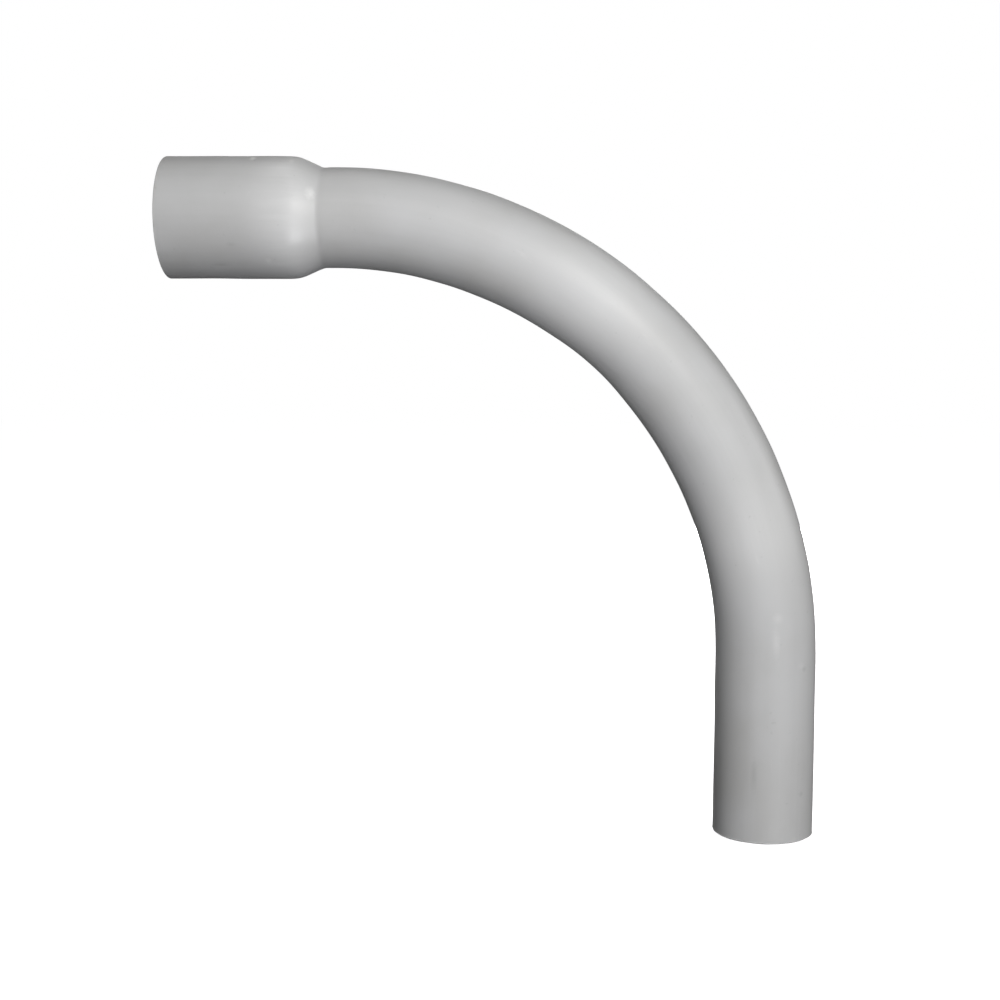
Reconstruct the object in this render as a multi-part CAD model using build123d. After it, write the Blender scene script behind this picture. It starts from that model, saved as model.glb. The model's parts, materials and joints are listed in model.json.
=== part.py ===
"""A 90 degree rigid PVC conduit elbow, 1 inch trade size, belled at one end and plain at the other.

The elbow is one length of extruded tube. It was heated, bent round a form, blown out over a
mandrel at one end to make a socket, and sawn square at both ends. It has no seam and no joint
anywhere, so it is a single solid.

The origin is the middle of the bell's mouth. The bell's axis runs along +X into the elbow, the
bend turns down in the XZ plane, and the plain leg points along -Z.
"""

import os

from build123d import *

# ---- The tube it is made from (Schedule 40, all in millimetres and degrees) ----
tube_diameter = 33.40
tube_wall = 3.38

# ---- The bend ----
bend_radius = 146.05  # to the tube's centre line
bend_angle = 90.0
plain_leg = 60.0  # straight length after the bend

# ---- The bell ----
socket_clearance = 0.19  # radial, between the socket and a tube pushed into it
socket_depth = 44.0  # mouth to where the socket narrows and stops the tube
bell_wall = 3.45
shoulder_length = 7.7  # of the cone between bell and tube, outside and inside alike
shoulder_setback = 0.8  # how far the outer cone lags the inner one, which keeps the wall even
bell_tangent = 4.2  # straight length between the shoulder and the bend

# ---- Edges ----
rim_round = 0.4  # outer edge of the bell's mouth
socket_lead_in = 0.8  # chamfer that guides the tube into the socket
knee_round = 11.0  # where the bell turns down into the shoulder
neck_round = 2.5  # where the shoulder meets the tube
throat_round = 7.0  # where the inner cone meets the bore
outer_break = 0.5  # broken outer edge of the sawn end
bore_break = 0.5  # reamed inner edge of the sawn end, so that it can't cut a wire

# ---- Worked out from the sizes above ----
tube_radius = tube_diameter / 2
bore_radius = tube_radius - tube_wall
socket_radius = tube_radius + socket_clearance
bell_radius = socket_radius + bell_wall
throat_end = socket_depth + shoulder_length
bell_length = socket_depth + shoulder_setback
shoulder_end = bell_length + shoulder_length
bell_leg = shoulder_end + bell_tangent

bend_centre = (bell_leg, 0, -bend_radius)
bend_axis = Axis(bend_centre, (0, 1, 0))


def ring_about_x(outline, radii):
    """Turns a closed wall outline, given as (distance along X, radius) points, round the X axis."""
    points = [(x, 0, r) for x, r in outline]
    edge = FilletPolyline(*points, radius=radii, close=True)
    return revolve(make_face(edge), axis=Axis.X)


def make_bell():
    """The belled leg: mouth, socket, shoulder and the short straight length before the bend."""
    outline = [
        (0, bell_radius),
        (bell_length, bell_radius),
        (shoulder_end, tube_radius),
        (bell_leg, tube_radius),
        (bell_leg, bore_radius),
        (throat_end, bore_radius),
        (socket_depth, socket_radius),
        (socket_lead_in, socket_radius),
        (0, socket_radius + socket_lead_in),
    ]
    radii = [rim_round, knee_round, neck_round, 0, 0, throat_round, 0, 0, 0]
    return ring_about_x(outline, radii)


def make_bend():
    """The quarter turn: the tube's ring section carried round the bend's axis."""
    section = Plane.YZ.offset(bell_leg) * (Circle(tube_radius) - Circle(bore_radius))
    return revolve(section, axis=bend_axis, revolution_arc=bend_angle)


def make_plain_leg():
    """The straight leg after the bend, sawn square, with its outer edge broken and its bore reamed."""
    start = bell_leg
    end = bell_leg + plain_leg
    outline = [
        (start, tube_radius),
        (end - outer_break, tube_radius),
        (end, tube_radius - outer_break),
        (end, bore_radius + bore_break),
        (end - bore_break, bore_radius),
        (start, bore_radius),
    ]
    leg = ring_about_x(outline, [0] * len(outline))
    return leg.rotate(bend_axis, bend_angle)


elbow_tube = make_bell() + make_bend() + make_plain_leg()

os.makedirs("parts", exist_ok=True)
export_step(elbow_tube, "parts/elbow_tube.step")
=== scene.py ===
"""The looks of a one inch PVC conduit elbow: a belled socket, a quarter bend and a plain sawn leg.

The elbow is one closed wall carried along one centre line. Every point of it is found from a distance
along that line and an angle round it, where angle 0 faces the outside of the bend and -90 degrees faces
the front, -Y. Lengths are in metres, in the frame's own axes, and the tables give them in millimetres.
"""

import json
import math

import bpy
import numpy as np
from mathutils import Matrix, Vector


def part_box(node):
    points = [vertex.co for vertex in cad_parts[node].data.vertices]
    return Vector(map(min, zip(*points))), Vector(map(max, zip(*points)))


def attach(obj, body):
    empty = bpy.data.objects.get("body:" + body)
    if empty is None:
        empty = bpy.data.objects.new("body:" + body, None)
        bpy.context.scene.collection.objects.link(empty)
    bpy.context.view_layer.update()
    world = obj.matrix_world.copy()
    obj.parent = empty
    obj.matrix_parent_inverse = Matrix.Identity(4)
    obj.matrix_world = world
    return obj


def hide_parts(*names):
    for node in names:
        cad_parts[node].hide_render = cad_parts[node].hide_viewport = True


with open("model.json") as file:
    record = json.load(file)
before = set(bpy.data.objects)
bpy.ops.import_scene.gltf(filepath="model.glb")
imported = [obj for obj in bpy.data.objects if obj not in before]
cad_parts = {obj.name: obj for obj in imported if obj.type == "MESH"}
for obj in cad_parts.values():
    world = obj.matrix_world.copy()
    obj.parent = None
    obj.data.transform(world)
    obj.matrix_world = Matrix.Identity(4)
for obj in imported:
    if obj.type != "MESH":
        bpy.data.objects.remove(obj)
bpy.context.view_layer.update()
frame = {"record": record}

MM = 0.001

# ---- Sizes read from the frame ----
mounts = {mount["name"]: mount for mount in frame["record"]["mounts"]}
low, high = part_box("elbow_tube")
TUBE_RADIUS = mounts["plain_end"]["dims"]["r_mm"] * MM
BORE_RADIUS = mounts["raceway_bore"]["dims"]["r_mm"] * MM
SOCKET_RADIUS = mounts["bell_socket"]["dims"]["r_mm"] * MM
BELL_RADIUS = high.z
LEG_X = mounts["plain_end"]["pos_m"][0]
LEAD_IN = mounts["bell_socket"]["pos_m"][0]
SOCKET_DEPTH = LEAD_IN + mounts["bell_socket"]["dims"]["length_mm"] * MM

# ---- Sizes of the bend and the shoulder ----
BEND_RADIUS = 146.05 * MM
SHOULDER_LENGTH = 7.7 * MM
SHOULDER_SETBACK = 0.8 * MM
RIM_ROUND = 0.4 * MM
EDGE_BREAK = 0.5 * MM

BELL_LEG = LEG_X - BEND_RADIUS
BEND_LENGTH = BEND_RADIUS * math.pi / 2
LEG_LENGTH = -low.z - BEND_RADIUS
WHOLE_LENGTH = BELL_LEG + BEND_LENGTH + LEG_LENGTH
KNEE = SOCKET_DEPTH + SHOULDER_SETBACK
MIDDLE = np.array((low + high) / 2)

# ---- What bending, belling and sawing left on the wall ----
FLAT_DEPTH = 0.70 * MM
FLAT_MIDDLE = math.radians(42.0)
FLAT_SPREAD = math.radians(8.0)
OVAL_DEPTH = 0.10 * MM
OVAL_SPREAD = BEND_LENGTH * 0.45
KNEE_LEAN = 0.10 * MM
NECK_LEAN = 0.15 * MM
KNEE_SOFT = 0.90 * MM
KNEE_SOFTER_INSIDE = 0.30 * MM
KNEE_SOFTER_IN_FRONT = 1.40 * MM
NECK_SOFT = 0.30 * MM
NECK_SOFTER_INSIDE = 0.60 * MM
PINCH_DEPTH = 0.10 * MM
PINCH_PAST_NECK = 0.90 * MM
PINCH_SPREAD = 1.20 * MM
THROAT_SOFT = 0.50 * MM
BORE_SOFT = 0.60 * MM
BURR_HEIGHT = 0.10 * MM
BURR_SPREAD = 0.90 * MM
CUT_EDGE_BREAK = EDGE_BREAK * 0.8
# Chalk share on the broken outer edge of the sawn end: partly its own chalky pale, partly a painted lift of
# the shade where it faces down.
EDGE_CHALK_AND_LIFT = 0.7

# ---- Mesh density ----
AROUND = 168
OUTER_ROWS = 420
INNER_ROWS = 140
FACE_ROWS = 7
ROUND_ROWS = 5
ROW_SAMPLES = 8000


def centre_line(s):
    """Point and outward direction at distance s: straight, a quarter circle of BEND_RADIUS, straight."""
    turn = np.clip((s - BELL_LEG) / BEND_RADIUS, 0.0, math.pi / 2)
    before = np.minimum(s - BELL_LEG, 0.0)
    after = np.maximum(s - BELL_LEG - BEND_LENGTH, 0.0)
    x = BELL_LEG + before + BEND_RADIUS * np.sin(turn)
    z = BEND_RADIUS * (np.cos(turn) - 1.0) - after
    point = np.stack([x, np.zeros_like(x), z], -1)
    outward = np.stack([np.sin(turn), np.zeros_like(x), np.cos(turn)], -1)
    return point, outward


def soft_ramp(x, width):
    """Zero well below x = 0, x well above it, and a smooth turn between: width log(1 + e^(x / width))."""
    return width * np.logaddexp(0.0, x / width)


def bump(x, middle, spread):
    """A bell curve, e^-((x - middle) / spread)^2."""
    return np.exp(-(((x - middle) / spread) ** 2))


def stepped_radius(s, start, end, wide, narrow, start_soft, end_soft):
    """A radius that falls from wide to narrow in a straight cone between start and end, with soft corners.

    It is wide less the cone's slope times the difference of two soft ramps, one from each end of the cone.
    """
    slope = (wide - narrow) / (end - start)
    return wide - slope * (soft_ramp(s - start, start_soft) - soft_ramp(s - end, end_soft))


def bend_flat(s, angle):
    """How far the wall is pressed in on the inside of the bend, near its middle, where the former held it.

    It is a bell curve along the tube, times the square of the cosine of the angle on the inside half.
    """
    middle = BELL_LEG + BEND_RADIUS * FLAT_MIDDLE
    spread = BEND_RADIUS * FLAT_SPREAD
    inside = np.clip(-np.cos(angle), 0.0, 1.0) ** 2
    return FLAT_DEPTH * bump(s, middle, spread) * inside


def ovality(s, angle):
    """A slight oval in the bend, widest across its plane: -cos(2 angle) inside a long smooth window."""
    window = bump(s, BELL_LEG + BEND_LENGTH / 2, OVAL_SPREAD)
    return -OVAL_DEPTH * window * np.cos(2 * angle)


def ripple(s, angle):
    """The faint waviness of hot-formed tube: a sum of sine waves that run along and round it.

    Each wave is a height and a length in mm, a whole number of lobes round, and a phase in radians.
    """
    waves = [
        (0.035, 61.0, 1, 0.4), (0.025, 37.0, -2, 2.1), (0.018, 23.0, 3, 4.4),
        (0.012, 17.0, -1, 1.2), (0.010, 90.0, 5, 3.0), (0.008, 140.0, -7, 5.1),
    ]
    total = 0.0
    for height, length, lobes, phase in waves:
        total = total + height * MM * np.sin(2 * math.pi * s / (length * MM) + lobes * angle + phase)
    return total


def knocks(s, angle):
    """Small dents from handling, each a bell curve along the tube times a bell curve round it.

    Each dent is its mm along, its degrees round, its two spreads in mm, and its depth in mm.
    """
    dents = [
        (30.5, -23, 0.9, 1.2, 0.30), (50.2, -72, 1.0, 0.8, 0.12), (43.5, -29, 0.8, 1.0, 0.08),
        (20.5, -144, 1.6, 1.0, 0.06), (36.8, -140, 0.9, 0.8, 0.10), (279.0, -84, 4.0, 1.0, 0.03),
        (323.4, -107, 4.0, 0.9, 0.04), (287.4, -50, 0.9, 0.9, 0.07), (329.9, -48, 0.8, 0.8, 0.07),
        (120.0, 160, 2.0, 1.4, 0.15), (210.0, 65, 1.6, 1.6, 0.16), (318.0, 120, 2.4, 1.0, 0.14),
        (18.0, 100, 1.3, 1.7, 0.15), (345.2, -178, 0.8, 1.4, 0.22),
    ]
    total = 0.0
    for place, degrees, along, around, depth in dents:
        turn = angle - math.radians(degrees)
        arc = TUBE_RADIUS * np.arctan2(np.sin(turn), np.cos(turn))
        total = total + depth * MM * bump(s, place * MM, along * MM) * bump(arc, 0.0, around * MM)
    return total


def sawn_wander(angle, size, seed):
    """Unevenness round a sawn edge, at most about size: sines of n lobes, each 1 / (1 + 0.1 n) high."""
    lobes = [2, 5, 9, 14, 23, 31]
    heights_together = 3.0
    phases = np.random.default_rng(seed).uniform(0, 2 * math.pi, len(lobes))
    total = sum(np.sin(n * angle + p) / (1 + 0.1 * n) for n, p in zip(lobes, phases))
    return size * total / heights_together


def highlight_and_gloss_bands(s):
    """Painted highlights: a sum of three bell curves along the tube, at the knee and at two places in the
    bend, where the colour is paler and the surface smoother.

    Each band is its mm along, its spread in mm, and its amount.
    """
    bands = [(42.0, 9.0, 1.0), (149.0, 21.0, 0.57), (244.0, 17.0, 0.62)]
    return sum(amount * bump(s, place * MM, spread * MM) for place, spread, amount in bands)


def outer_wall(s, angle):
    """Outer radius: bell, cone and tube, with the bend's flat and oval, the ripples and the knocks.

    The knee is softer on the front and inside of the bend, and the neck on the inside. Just past the neck
    the tube is pinched a little, all the way round.
    """
    outward = np.cos(angle)
    inside = np.clip(-outward, 0.0, 1.0)
    in_front = np.clip(-np.sin(angle), 0.0, 1.0) ** 2
    knee = KNEE + KNEE_LEAN * outward
    neck = KNEE + SHOULDER_LENGTH + NECK_LEAN * outward
    knee_soft = KNEE_SOFT + KNEE_SOFTER_INSIDE * inside + KNEE_SOFTER_IN_FRONT * in_front
    neck_soft = NECK_SOFT + NECK_SOFTER_INSIDE * inside
    radius = stepped_radius(s, knee, neck, BELL_RADIUS, TUBE_RADIUS, knee_soft, neck_soft)
    pinch = PINCH_DEPTH * bump(s, neck + PINCH_PAST_NECK, PINCH_SPREAD)
    return radius - pinch - bend_flat(s, angle) + ovality(s, angle) + ripple(s, angle) - knocks(s, angle)


def inner_wall(s, angle):
    """Inner radius: socket, throat and bore, with the same flat and oval as the outside."""
    end = SOCKET_DEPTH + SHOULDER_LENGTH
    radius = stepped_radius(s, SOCKET_DEPTH, end, SOCKET_RADIUS, BORE_RADIUS, THROAT_SOFT, BORE_SOFT)
    return radius - bend_flat(s, angle) + ovality(s, angle)


def spread_rows(start, end, count, crowds):
    """Distances from start to end, closer together around each crowd of (middle, spread, how much closer).

    They are equal steps of the running total of a weight: one, plus a bell curve over each crowd.
    """
    s = np.linspace(start, end, ROW_SAMPLES)
    weight = np.ones_like(s)
    for middle, spread, closer in crowds:
        weight = weight + closer * bump(s, middle, spread)
    total = np.cumsum(weight)
    return np.interp(np.linspace(total[0], total[-1], count), total, s)


def wall_section():
    """The closed section of the wall, row by row, as each point's distance, radius, sawn share and angle.

    It runs out along the outside, over the sawn end, back along the bore and the socket, and round the
    mouth.
    """
    angle = np.linspace(0.0, 2 * math.pi, AROUND, endpoint=False)[None, :]
    ones = np.ones_like(angle)

    shoulder = (KNEE + SHOULDER_LENGTH / 2, 8 * MM, 1.6)
    neck = (KNEE + SHOULDER_LENGTH, 1.5 * MM, 2.0)
    throat = (SOCKET_DEPTH + SHOULDER_LENGTH / 2, 7 * MM, 4.0)
    sawn_edge = WHOLE_LENGTH - EDGE_BREAK
    outer_crowds = [shoulder, neck, (RIM_ROUND, MM, 4.0), (sawn_edge, MM, 5.0)]
    inner_crowds = [throat, (LEAD_IN, MM, 9.0), (sawn_edge, MM, 12.0)]
    s_out = spread_rows(RIM_ROUND, sawn_edge, OUTER_ROWS, outer_crowds)[:, None] * ones
    s_in = spread_rows(LEAD_IN, sawn_edge, INNER_ROWS, inner_crowds)[::-1, None] * ones
    burr_height = BURR_HEIGHT * (1 + sawn_wander(angle, size=1.0, seed=3))
    burr = burr_height * bump(s_out, WHOLE_LENGTH, BURR_SPREAD)
    r_out = outer_wall(s_out, angle) + burr
    r_in = inner_wall(s_in, angle)

    # The sawn end: a broken outer edge, the flat face, and the reamed inner edge. The face wanders most at
    # its outside.
    step = np.linspace(0.0, 1.0, FACE_ROWS + 2)[1:-1, None]
    wander = sawn_wander(angle, size=0.10 * MM, seed=11)
    inner_share = 0.3
    face_outer = r_out[-1:] - CUT_EDGE_BREAK + sawn_wander(angle, size=0.12 * MM, seed=5)
    face_inner = r_in[:1] + EDGE_BREAK + sawn_wander(angle, size=0.08 * MM, seed=7)
    s_end = (WHOLE_LENGTH + wander * (inner_share + (1 - inner_share) * (1 - step))) * ones
    r_end = face_outer + (face_inner - face_outer) * step

    # The mouth: a chamfer that guides the tube in, the flat face, and a small round outside.
    face_in = SOCKET_RADIUS + LEAD_IN
    face_out = BELL_RADIUS - RIM_ROUND
    flat = np.linspace(face_in, face_out, FACE_ROWS)[:, None]
    quarter = np.linspace(0.0, math.pi / 2, ROUND_ROWS + 2)[1:-1, None]
    wander = sawn_wander(angle, size=0.05 * MM, seed=17)
    s_round = RIM_ROUND * (1 - np.cos(quarter)) + wander / 2
    r_round = face_out + RIM_ROUND * np.sin(quarter)
    s_mouth = np.concatenate([wander + 0 * flat, s_round])
    r_mouth = np.concatenate([flat * ones, r_round * ones])

    distance = np.concatenate([s_out, s_end, s_in, s_mouth])
    radius = np.concatenate([r_out, r_end, r_in, r_mouth])
    sawn_and_edge_lift = np.zeros_like(distance)
    sawn_and_edge_lift[len(s_out) : len(s_out) + len(s_end)] = 1.0
    # The broken outer edge takes part of the chalk: partly the edge's own pale, partly painted fill light
    # over its shade.
    sawn_and_edge_lift[len(s_out) - 1] = EDGE_CHALK_AND_LIFT
    sawn_and_edge_lift[len(distance) - len(s_mouth) : len(distance) - len(quarter)] = 1.0
    return distance, radius, sawn_and_edge_lift, angle * np.ones_like(distance)


def elbow_surface():
    """Each point is the centre line's point, plus the radius times (cos angle outward + sin angle Y).

    With it go the same point on the tube laid straight, its sawn share, which also paints a lift on the
    broken outer edge, and its share of the painted highlight bands.
    """
    distance, radius, sawn_and_edge_lift, angle = wall_section()
    point, outward = centre_line(distance)
    across = np.array([0.0, 1.0, 0.0])
    spoke = np.cos(angle)[..., None] * outward + np.sin(angle)[..., None] * across
    place = point + radius[..., None] * spoke
    straightened = np.stack([distance, radius * np.cos(angle), radius * np.sin(angle)], -1)
    return place, straightened, sawn_and_edge_lift, highlight_and_gloss_bands(distance)


def ring_faces(rows, columns):
    """Quads between neighbouring rows and columns of a grid that closes both ways, facing outwards."""
    index = np.arange(rows * columns).reshape(rows, columns)
    down = np.roll(index, -1, 0)
    right = np.roll(index, -1, 1)
    both = np.roll(down, -1, 1)
    return np.stack([index, down, both, right], -1).reshape(-1, 4)


def build_elbow():
    """The elbow's mesh, with a straightened position, a sawn share that also paints a lift on the broken
    outer edge, and a share of painted highlight bands for its material.
    """
    place, straightened, sawn_and_edge_lift, highlight_gloss_share = elbow_surface()
    rows, columns = sawn_and_edge_lift.shape
    mesh = bpy.data.meshes.new("elbow_wall")
    mesh.from_pydata(place.reshape(-1, 3), [], ring_faces(rows, columns))
    along = mesh.attributes.new("straightened", "FLOAT_VECTOR", "POINT")
    along.data.foreach_set("vector", straightened.reshape(-1).astype(np.float32))
    for name, values in (("sawn_and_edge_lift", sawn_and_edge_lift), ("highlight_gloss_share", highlight_gloss_share)):
        share = mesh.attributes.new(name, "FLOAT", "POINT")
        share.data.foreach_set("value", values.reshape(-1).astype(np.float32))
    mesh.polygons.foreach_set("use_smooth", np.ones(len(mesh.polygons), bool))
    mesh.update()
    elbow = bpy.data.objects.new("elbow_wall", mesh)
    bpy.context.scene.collection.objects.link(elbow)
    return elbow


# ---- Colours, as linear red, green and blue ----
BODY_DARK = (0.383, 0.382, 0.378, 1.0)
BODY_LIGHT = (0.421, 0.424, 0.428, 1.0)
# A paler colour painted on the bands at the knee and in the bend, as a highlight.
PAINTED_HIGHLIGHT = (0.530, 0.532, 0.533, 1.0)
STREAK = (0.440, 0.442, 0.443, 1.0)
SPECK = (0.300, 0.300, 0.300, 1.0)
DARK_MARK_GREY = (0.270, 0.270, 0.268, 1.0)
RUBBED = (0.620, 0.620, 0.615, 1.0)
# The pale of sawn faces; on the broken outer edge it is also painted fill light.
CHALK_AND_EDGE_LIFT = (0.570, 0.570, 0.565, 1.0)


# ---- Material ----
MIX_FACTOR, MIX_FIRST, MIX_SECOND, MIX_RESULT = 0, 6, 7, 2  # a Mix node's sockets when it mixes colours
MARK_FULL = 0.5
MARK_GONE = 1.6


def add(tree, kind, **settings):
    """A new node, with its own settings and the starting values of its sockets."""
    node = tree.nodes.new(kind)
    for name, value in settings.items():
        if name in node.inputs:
            node.inputs[name].default_value = value
        else:
            setattr(node, name, value)
    return node


def noise(tree, vector, scale, detail, roughness=0.5):
    """Fractal noise on a vector, and its factor."""
    node = add(tree, "ShaderNodeTexNoise", Scale=scale, Detail=detail, Roughness=roughness)
    tree.links.new(vector, node.inputs["Vector"])
    return node.outputs["Fac"]


def stretched(tree, vector, scale):
    """A vector scaled by a different amount along each axis."""
    node = add(tree, "ShaderNodeMapping", Scale=scale)
    tree.links.new(vector, node.inputs["Vector"])
    return node.outputs["Vector"]


def remap(tree, value, from_low, from_high, to_low, to_high):
    """A value taken in a straight line from one range to another, held at the ends."""
    node = add(tree, "ShaderNodeMapRange")
    tree.links.new(value, node.inputs["Value"])
    node.inputs["From Min"].default_value = from_low
    node.inputs["From Max"].default_value = from_high
    node.inputs["To Min"].default_value = to_low
    node.inputs["To Max"].default_value = to_high
    return node.outputs["Result"]


def blend_colour(tree, factor, first, second):
    """A colour between two, each either a socket or a fixed colour."""
    node = add(tree, "ShaderNodeMix", data_type="RGBA")
    tree.links.new(factor, node.inputs[MIX_FACTOR])
    for socket, colour in ((node.inputs[MIX_FIRST], first), (node.inputs[MIX_SECOND], second)):
        if isinstance(colour, tuple):
            socket.default_value = colour
        else:
            tree.links.new(colour, socket)
    return node.outputs[MIX_RESULT]


def calculate(tree, operation, first, second):
    """Arithmetic on two values, each either a socket or a number."""
    node = add(tree, "ShaderNodeMath", operation=operation)
    for socket, value in zip(node.inputs, (first, second)):
        if isinstance(value, (int, float)):
            socket.default_value = value
        else:
            tree.links.new(value, socket)
    return node.outputs[0]


def raise_surface(tree, height, distance, strength, below=None):
    """A bump from a height, on top of an earlier one."""
    node = add(tree, "ShaderNodeBump", Strength=strength, Distance=distance)
    tree.links.new(height, node.inputs["Height"])
    if below is not None:
        tree.links.new(below, node.inputs["Normal"])
    return node.outputs["Normal"]


def mark(tree, straight, ragged, place, degrees, along, around):
    """One at a small mark's middle, zero outside it: an ellipse on the tube's skin with ragged edges.

    It falls as the distance from the middle, in half sizes, plus the ragged noise goes from MARK_FULL to
    MARK_GONE.
    """
    radius = BELL_RADIUS if place * MM < KNEE else TUBE_RADIUS
    turn = math.radians(degrees)
    middle = (place * MM, radius * math.cos(turn), radius * math.sin(turn))
    scale = (1 / (along * MM), 1 / (around * MM), 1 / (around * MM))
    moved = add(tree, "ShaderNodeVectorMath", operation="MULTIPLY_ADD")
    tree.links.new(straight, moved.inputs[0])
    moved.inputs[1].default_value = scale
    moved.inputs[2].default_value = tuple(-m * k for m, k in zip(middle, scale))
    reach = add(tree, "ShaderNodeVectorMath", operation="LENGTH")
    tree.links.new(moved.outputs["Vector"], reach.inputs[0])
    return remap(tree, calculate(tree, "ADD", reach.outputs["Value"], ragged), MARK_FULL, MARK_GONE, 1.0, 0.0)


def all_marks(tree, straight, ragged, marks):
    """The strongest of several marks at each point, each times its own amount."""
    total = None
    for *where, amount in marks:
        one = calculate(tree, "MULTIPLY", mark(tree, straight, ragged, *where), amount)
        total = one if total is None else calculate(tree, "MAXIMUM", total, one)
    return total


def pvc_material():
    """Extruded grey PVC: satin, faintly streaked and cloudy, rubbed here and there, chalky where sawn, with
    painted highlight bands and a painted lift of the shade on the broken outer edge.
    """
    material = bpy.data.materials.new("grey_pvc")
    material.use_nodes = True
    tree = material.node_tree
    shader = tree.nodes["Principled BSDF"]
    where = add(tree, "ShaderNodeTexCoord").outputs["Object"]
    straight = add(tree, "ShaderNodeAttribute", attribute_name="straightened").outputs["Vector"]
    sawn_and_edge_lift = add(tree, "ShaderNodeAttribute", attribute_name="sawn_and_edge_lift").outputs["Fac"]
    highlight_gloss_share = add(tree, "ShaderNodeAttribute", attribute_name="highlight_gloss_share").outputs["Fac"]

    # Streaks from the die come and go in soft clouds, over a fine grain and sparse specks.
    clouds = noise(tree, where, scale=34.0, detail=4.0)
    fine_streaks = noise(tree, stretched(tree, straight, (9.0, 700.0, 700.0)), scale=1.0, detail=3.0)
    broad_streaks = noise(tree, stretched(tree, straight, (14.0, 190.0, 190.0)), scale=1.0, detail=3.0)
    streaks = calculate(tree, "MULTIPLY", calculate(tree, "ADD", fine_streaks, broad_streaks), clouds)
    grain = noise(tree, where, scale=2600.0, detail=2.0)
    specks = remap(tree, noise(tree, where, scale=620.0, detail=2.0), 0.70, 0.78, 0.0, 1.0)

    # Rubs from handling: ragged pale patches and single pale marks. Single darker marks, most of them at
    # dents, make the colour darker there. Each mark is its mm along, its degrees round, its half length and
    # half width in mm, and its amount, which may be over one.
    ragged = calculate(tree, "MULTIPLY", noise(tree, where, scale=900.0, detail=4.0), 0.9)
    smears = stretched(tree, straight, (70.0, 260.0, 260.0))
    patches = noise(tree, smears, scale=1.0, detail=6.0, roughness=0.65)
    pale = all_marks(tree, straight, ragged, [
        (50.8, -69, 1.9, 2.4, 1.3), (43.7, -29, 1.1, 2.4, 1.3), (30.5, -23, 1.2, 2.6, 2.2),
        (279.0, -84, 5.0, 1.4, 0.4), (271.3, -81, 2.0, 1.8, 0.4), (287.0, -52, 1.2, 1.6, 0.3),
        (36.8, -139, 1.2, 1.2, 0.8), (346.2, -95, 0.8, 7.5, 1.2), (346.2, -160, 0.8, 4.5, 0.8),
        (150.0, 95, 2.5, 0.9, 0.5), (232.0, 140, 4.0, 0.8, 0.4), (24.0, 60, 1.4, 1.8, 0.5),
    ])
    dark = all_marks(tree, straight, ragged, [
        (49.0, -75, 1.2, 1.3, 0.7), (20.4, -145, 3.0, 0.8, 0.45), (323.4, -107, 6.0, 1.2, 0.35),
        (329.9, -48, 1.0, 1.0, 0.45), (288.2, -47, 1.0, 1.1, 0.4), (25.2, -121, 1.6, 0.9, 0.3),
        (188.0, 100, 1.2, 1.0, 0.5), (305.0, 60, 3.0, 0.7, 0.5),
    ])
    rubbed = calculate(tree, "MAXIMUM", remap(tree, patches, 0.66, 0.78, 0.0, 0.35), pale)

    # The body's colour, then the painted highlight bands, then each finish over the one before.
    body = blend_colour(tree, remap(tree, clouds, 0.3, 0.7, 0.0, 1.0), BODY_DARK, BODY_LIGHT)
    # Painted highlight: paler colour on the bands at the knee and in the bend.
    highlighted = blend_colour(tree, highlight_gloss_share, body, PAINTED_HIGHLIGHT)
    streaked = blend_colour(tree, remap(tree, streaks, 0.35, 0.70, 0.0, 0.45), highlighted, STREAK)
    speckled = blend_colour(tree, calculate(tree, "MULTIPLY", specks, 0.30), streaked, SPECK)
    dark_marked = blend_colour(tree, dark, speckled, DARK_MARK_GREY)
    worn = blend_colour(tree, calculate(tree, "MULTIPLY", rubbed, 0.55), dark_marked, RUBBED)
    # Chalk on the sawn faces, and on the broken outer edge, where it is partly painted fill light.
    tree.links.new(blend_colour(tree, sawn_and_edge_lift, worn, CHALK_AND_EDGE_LIFT), shader.inputs["Base Color"])

    # Roughness: smoother in the bands, duller where rubbed, and dullest where sawn.
    satin = remap(tree, clouds, 0.3, 0.7, 0.48, 0.55)
    polished = calculate(tree, "SUBTRACT", satin, calculate(tree, "MULTIPLY", highlight_gloss_share, 0.14))
    dulled = calculate(tree, "ADD", polished, calculate(tree, "MULTIPLY", rubbed, 0.15))
    chalked = calculate(tree, "ADD", dulled, calculate(tree, "MULTIPLY", sawn_and_edge_lift, 0.35))
    tree.links.new(chalked, shader.inputs["Roughness"])
    shader.inputs["IOR"].default_value = 1.53

    # Die lines along the tube, a fine orange peel, and the saw's straight strokes across the cut faces.
    lines = raise_surface(tree, streaks, distance=0.06 * MM, strength=0.20)
    peel = raise_surface(tree, grain, distance=0.02 * MM, strength=0.5, below=lines)
    strokes = noise(tree, stretched(tree, where, (1500.0, 120.0, 1500.0)), scale=1.0, detail=3.0)
    cut = calculate(tree, "MULTIPLY", strokes, sawn_and_edge_lift)
    sawn_skin = raise_surface(tree, cut, distance=0.30 * MM, strength=0.9, below=peel)
    tree.links.new(sawn_skin, shader.inputs["Normal"])
    return material


# ---- Studio ----
FLOOR_RADIUS = 6.0
FLOOR_POINTS = 96
FLOOR_GAP = 0.2 * MM
PAPER_GLOW = 1.0
FOOT_GLOW = 0.86
FOOT_NEAR = 0.05
FOOT_FAR = 0.30

NEUTRAL = (1.0, 1.0, 1.0)
WARM = (1.0, 0.98, 0.92)
COOL = (0.97, 0.975, 1.0)

LENS = 55.4
SENSOR_WIDTH = 36.0
CAMERA_FROM_MIDDLE = np.array([32.95, -518.28, 35.99]) * MM
CAMERA_DEGREES = (85.869, -0.406, 3.336)
NEAR_CLIP = 0.01


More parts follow.
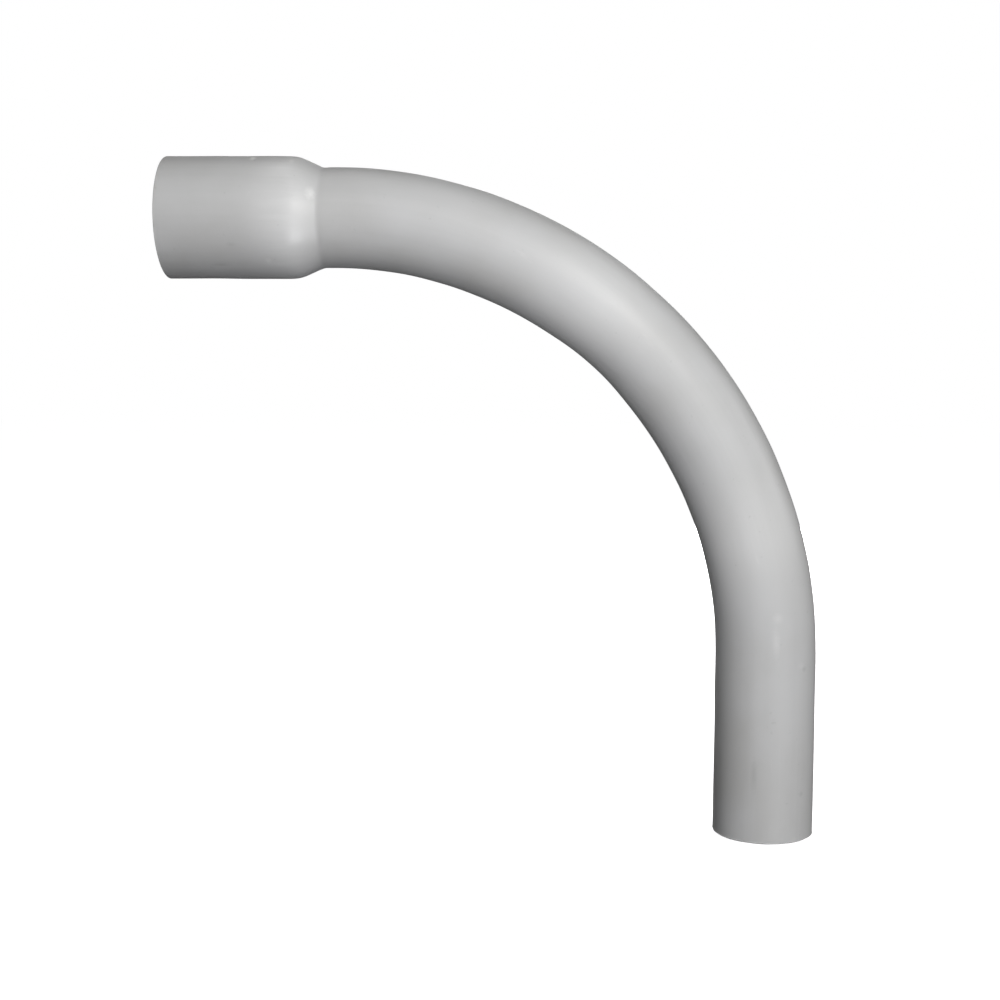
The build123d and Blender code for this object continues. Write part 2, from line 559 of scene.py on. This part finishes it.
def floor_material():
    """White paper that glows, and a little less around the foot of the sawn end."""
    material = bpy.data.materials.new("white_paper")
    material.use_nodes = True
    tree = material.node_tree
    shader = tree.nodes["Principled BSDF"]
    shader.inputs["Base Color"].default_value = (0.9, 0.9, 0.9, 1.0)
    shader.inputs["Roughness"].default_value = 0.9
    shader.inputs["Specular IOR Level"].default_value = 0.0
    shader.inputs["Emission Color"].default_value = (1.0, 1.0, 1.0, 1.0)
    where = add(tree, "ShaderNodeTexCoord").outputs["Object"]
    from_foot = add(tree, "ShaderNodeVectorMath", operation="DISTANCE")
    tree.links.new(where, from_foot.inputs[0])
    from_foot.inputs[1].default_value = (LEG_X, 0.0, low.z)
    glow = remap(tree, from_foot.outputs["Value"], FOOT_NEAR, FOOT_FAR, FOOT_GLOW, PAPER_GLOW)
    tree.links.new(glow, shader.inputs["Emission Strength"])
    return material


def build_floor():
    """A large round sheet of paper, just under the elbow's sawn end."""
    turn = np.linspace(0.0, 2 * math.pi, FLOOR_POINTS, endpoint=False)
    height = np.full_like(turn, low.z - FLOOR_GAP)
    rim = np.stack([LEG_X + FLOOR_RADIUS * np.cos(turn), FLOOR_RADIUS * np.sin(turn), height], -1)
    mesh = bpy.data.meshes.new("paper_floor")
    mesh.from_pydata(rim, [], [list(range(len(turn)))])
    floor = bpy.data.objects.new("paper_floor", mesh)
    bpy.context.scene.collection.objects.link(floor)
    mesh.materials.append(floor_material())
    floor.visible_diffuse = False
    floor.visible_glossy = False
    floor.visible_shadow = False  # the low box shines up through the paper


def soft_box(name, place, size, watts, tint, mirrored=True):
    """A rectangular area light that faces the elbow's middle, from a place measured from there."""
    light = bpy.data.lights.new(name, "AREA")
    light.shape = "RECTANGLE"
    light.size, light.size_y = size
    light.energy = watts
    light.color = tint
    box = bpy.data.objects.new(name, light)
    way = np.array(place) / np.linalg.norm(place)
    side = np.cross([0.0, 0.0, 1.0], way)
    side /= np.linalg.norm(side)
    box.location = MIDDLE + np.array(place)
    box.rotation_euler = Matrix((side, np.cross(way, side), way)).transposed().to_euler()
    box.visible_camera = False
    box.visible_glossy = mirrored
    bpy.context.scene.collection.objects.link(box)


def build_lights():
    """Soft boxes near and far in front of the elbow, above it and beside it, and white surroundings.

    Places and sizes are in metres. The left and back boxes are fills that give no reflections, so that
    they draw no bright rim along the outline. The surroundings are seen but light nothing.
    """
    soft_box("main_box", (0.515, -0.968, 0.488), (0.20, 0.20), 4.0, WARM)
    soft_box("low_box", (0.492, -0.851, -0.688), (0.20, 0.20), 4.9, COOL)
    soft_box("side_box", (1.096, 0.000, 0.488), (0.20, 0.20), 3.4, NEUTRAL)
    soft_box("top_box", (-0.180, 0.104, 1.182), (0.20, 0.20), 1.4, NEUTRAL)
    soft_box("near_strip", (0.050, -0.200, 0.063), (0.12, 0.48), 0.30, COOL)
    soft_box("near_left_box", (-0.130, -0.200, 0.173), (0.24, 0.24), 0.21, NEUTRAL)
    soft_box("near_right_box", (0.110, -0.200, 0.063), (0.24, 0.24), 0.15, NEUTRAL)
    soft_box("left_box", (-1.100, -0.100, 0.050), (0.50, 0.50), 0.9, NEUTRAL, mirrored=False)
    soft_box("back_box", (0.000, 1.100, 0.300), (0.80, 0.80), 18.0, NEUTRAL, mirrored=False)
    world = bpy.data.worlds.new("white_room")
    bpy.context.scene.world = world
    world.use_nodes = True
    world.node_tree.nodes["Background"].inputs["Color"].default_value = (1.0, 1.0, 1.0, 1.0)
    world.cycles_visibility.diffuse = False
    world.cycles_visibility.glossy = False


def build_camera():
    """A view nearly square to the bend's plane, from a little right of and above the elbow's middle."""
    camera = bpy.data.objects.new("camera", bpy.data.cameras.new("camera"))
    camera.data.lens = LENS
    camera.data.sensor_width = SENSOR_WIDTH
    camera.location = MIDDLE + CAMERA_FROM_MIDDLE
    camera.rotation_euler = [math.radians(turn) for turn in CAMERA_DEGREES]
    camera.data.clip_start = NEAR_CLIP
    bpy.context.scene.collection.objects.link(camera)
    bpy.context.scene.camera = camera


bpy.context.scene.view_settings.view_transform = "Standard"
elbow_wall = build_elbow()
elbow_wall.data.materials.append(pvc_material())
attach(elbow_wall, "root")
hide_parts("elbow_tube")
build_floor()
build_lights()
build_camera()
